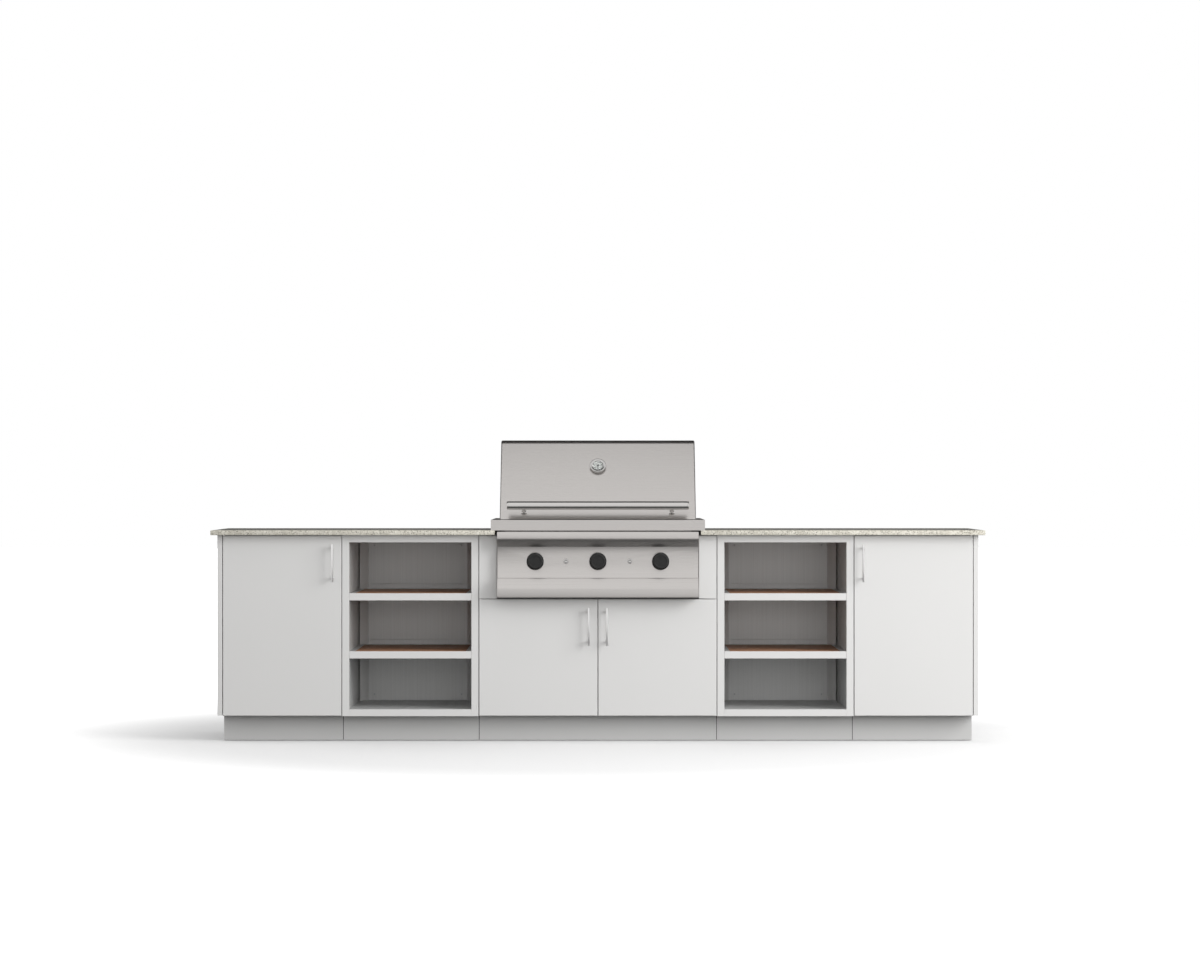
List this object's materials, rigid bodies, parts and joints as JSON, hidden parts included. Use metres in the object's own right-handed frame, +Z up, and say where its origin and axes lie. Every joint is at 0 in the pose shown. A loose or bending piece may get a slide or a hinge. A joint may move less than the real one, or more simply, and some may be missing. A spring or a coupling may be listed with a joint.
{
  "type": "outdoor kitchen island",
  "caption": "Row of powder-coated outdoor kitchen cabinets with doors, open shelves, a stone counter and a built-in gas grill with a lifting hood.",
  "frame": {"origin": "on the ground under the middle of the island's bounding box", "axes": "+X along the row to the viewer's right, +Y from the doors to the back, +Z up"},
  "size_m": [3.273, 0.706, 1.279],
  "materials": {
    "powder_coat": "satin powder coat, light warm grey",
    "granite": "polished, speckled",
    "stainless": "fine horizontal brushing",
    "chrome": "polished",
    "knob_black": "fine textured black",
    "wood": "oiled reddish brown",
    "glass": "clear",
    "dial_white": "matt enamel",
    "needle_black": "matt",
    "brass": "machined",
    "rubber": "moulded",
    "galvanised": "zinc plated"
  },
  "bodies": {
    "island": {"burners": "stainless", "button_sleeves": "chrome", "cabinet_backs": "powder_coat", "cabinet_floors": "powder_coat", "cabinet_rails": "powder_coat", "control_panel": "stainless", "cooking_grates": "stainless", "counter_left": "granite", "counter_rear": "granite", "counter_right": "granite", "door_cabinet_sides": "powder_coat", "drip_tray": "stainless", "end_panels": "powder_coat", "firebox": "stainless", "gas_inlet_pipe": "galvanised", "gas_manifold": "galvanised", "gas_valves": "brass", "grill_cabinet_sides": "powder_coat", "grill_filler_panels": "powder_coat", "grill_rim": "stainless", "heat_tents": "stainless", "inner_shelves": "powder_coat", "knob_bezels": "chrome", "levelling_feet": "rubber", "pivot_plates": "stainless", "shelf_boards": "wood", "shelf_cabinet_sides": "powder_coat", "shelf_cabinet_tops": "powder_coat", "shelf_clips": "galvanised", "shelf_trays": "powder_coat", "toe_kicks": "powder_coat", "warming_rack": "stainless"},
    "left_door": {"left_door": "powder_coat", "left_door_pins": "stainless", "left_door_pull": "stainless"},
    "right_door": {"right_door": "powder_coat", "right_door_pins": "stainless", "right_door_pull": "stainless"},
    "grill_door_left": {"grill_door_left": "powder_coat", "grill_door_left_pins": "stainless", "grill_door_left_pull": "stainless"},
    "grill_door_right": {"grill_door_right": "powder_coat", "grill_door_right_pins": "stainless", "grill_door_right_pull": "stainless"},
    "hood": {"hood_skin": "stainless", "hood_end_caps": "stainless", "hood_handle": "stainless", "hood_hinge_pins": "stainless", "thermometer_case": "chrome", "thermometer_dial": "dial_white", "thermometer_lens": "glass"},
    "gauge_needle": {"thermometer_needle": "needle_black"},
    "left_valve_stem": {"left_valve_stem": "stainless"},
    "left_knob": {"left_knob": "knob_black"},
    "middle_valve_stem": {"middle_valve_stem": "stainless"},
    "middle_knob": {"middle_knob": "knob_black"},
    "right_valve_stem": {"right_valve_stem": "stainless"},
    "right_knob": {"right_knob": "knob_black"},
    "ignition_button": {"ignition_button": "chrome"},
    "light_button": {"light_button": "chrome"}
  },
  "joints": [
    {"name": "right_door_hinge", "type": "hinge", "parent": "island", "child": "right_door", "pos_m": [1.5825, -0.278, 0.49], "axis": [0, 0, 1], "range_deg": [0, 110]},
    {"name": "left_door_hinge", "type": "hinge", "parent": "island", "child": "left_door", "pos_m": [-1.5825, -0.278, 0.49], "axis": [0, 0, -1], "range_deg": [0, 110]},
    {"name": "grill_door_right_hinge", "type": "hinge", "parent": "island", "child": "grill_door_right", "pos_m": [0.4975, -0.278, 0.49], "axis": [0, 0, 1], "range_deg": [0, 110]},
    {"name": "grill_door_left_hinge", "type": "hinge", "parent": "island", "child": "grill_door_left", "pos_m": [-0.4975, -0.278, 0.49], "axis": [0, 0, -1], "range_deg": [0, 110]},
    {"name": "hood_hinge", "type": "hinge", "parent": "island", "child": "hood", "pos_m": [0, 0.295, 0.963], "axis": [-1, 0, 0], "range_deg": [0, 85]},
    {"name": "gauge_needle_turn", "type": "hinge", "parent": "hood", "child": "gauge_needle", "pos_m": [0, -0.15326, 1.165], "axis": [0, 0.829, -0.5592], "range_deg": [0, 300], "stiffness_Nm_per_rad": 0.0005},
    {"name": "left_knob_push", "type": "slide", "parent": "island", "child": "left_valve_stem", "axis": [0, 1, 0], "range_m": [0, 0.003], "stiffness_N_per_m": 800},
    {"name": "left_knob_turn", "type": "hinge", "parent": "left_valve_stem", "child": "left_knob", "pos_m": [-0.265, -0.333, 0.766], "axis": [0, -1, 0], "range_deg": [0, 270]},
    {"name": "middle_knob_push", "type": "slide", "parent": "island", "child": "middle_valve_stem", "axis": [0, 1, 0], "range_m": [0, 0.003], "stiffness_N_per_m": 800},
    {"name": "middle_knob_turn", "type": "hinge", "parent": "middle_valve_stem", "child": "middle_knob", "pos_m": [0, -0.333, 0.766], "axis": [0, -1, 0], "range_deg": [0, 270]},
    {"name": "right_knob_push", "type": "slide", "parent": "island", "child": "right_valve_stem", "axis": [0, 1, 0], "range_m": [0, 0.003], "stiffness_N_per_m": 800},
    {"name": "right_knob_turn", "type": "hinge", "parent": "right_valve_stem", "child": "right_knob", "pos_m": [0.265, -0.333, 0.766], "axis": [0, -1, 0], "range_deg": [0, 270]},
    {"name": "ignition_button_press", "type": "slide", "parent": "island", "child": "ignition_button", "axis": [0, 1, 0], "range_m": [0, 0.002], "stiffness_N_per_m": 500},
    {"name": "light_button_press", "type": "slide", "parent": "island", "child": "light_button", "axis": [0, 1, 0], "range_m": [0, 0.002], "stiffness_N_per_m": 500}
  ]
}
